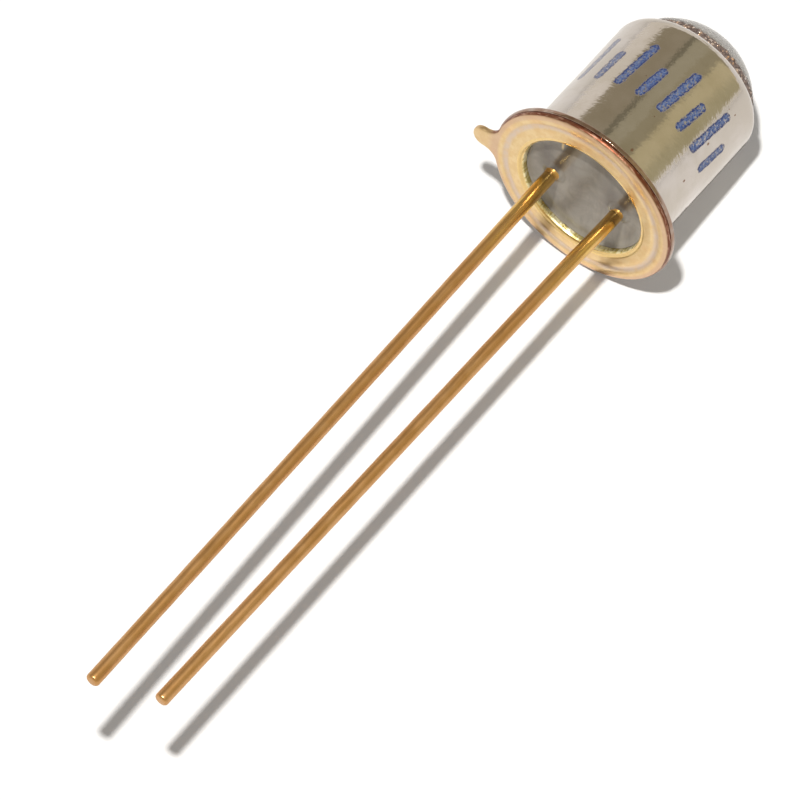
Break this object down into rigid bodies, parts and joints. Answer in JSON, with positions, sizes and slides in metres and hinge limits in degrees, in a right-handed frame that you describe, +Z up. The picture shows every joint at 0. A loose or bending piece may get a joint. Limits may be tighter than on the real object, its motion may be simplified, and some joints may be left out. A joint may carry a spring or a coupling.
{
  "type": "phototransistor",
  "caption": "Hermetic metal-can phototransistor with a domed glass lens, a tabbed gold header and gold-plated wire leads, lying on its side.",
  "frame": {"origin": "on the floor, below the middle of the part's box", "axes": "+X along the can towards the lens, +Y towards the index tab, +Z up from the floor it lies on"},
  "size_m": [0.0292, 0.0072, 0.0065],
  "materials": {
    "header_gold": "satin gold plating over nickel-iron alloy",
    "seal_glass": "dark glossy sealing glass",
    "emitter_gold": "bright gold plating",
    "collector_gold": "bright gold plating",
    "can_nickel": "bright nickel, drawn sheet with a few brown specks",
    "lens_glass": "clear moulded glass",
    "frit": "dark crumbly sealing glass with sparkling grains",
    "solder": "gold-silicon solder",
    "silicon": "polished silicon with an aluminium pad",
    "bond_gold": "bright gold wire"
  },
  "bodies": {
    "root": {"header": "header_gold", "glass_seal": "seal_glass", "emitter_lead": "emitter_gold", "collector_lead": "collector_gold", "can": "can_nickel", "lens": "lens_glass", "lens_seal": "frit", "die_attach": "solder", "phototransistor_chip": "silicon", "bond_wire": "bond_gold"}
  },
  "joints": []
}
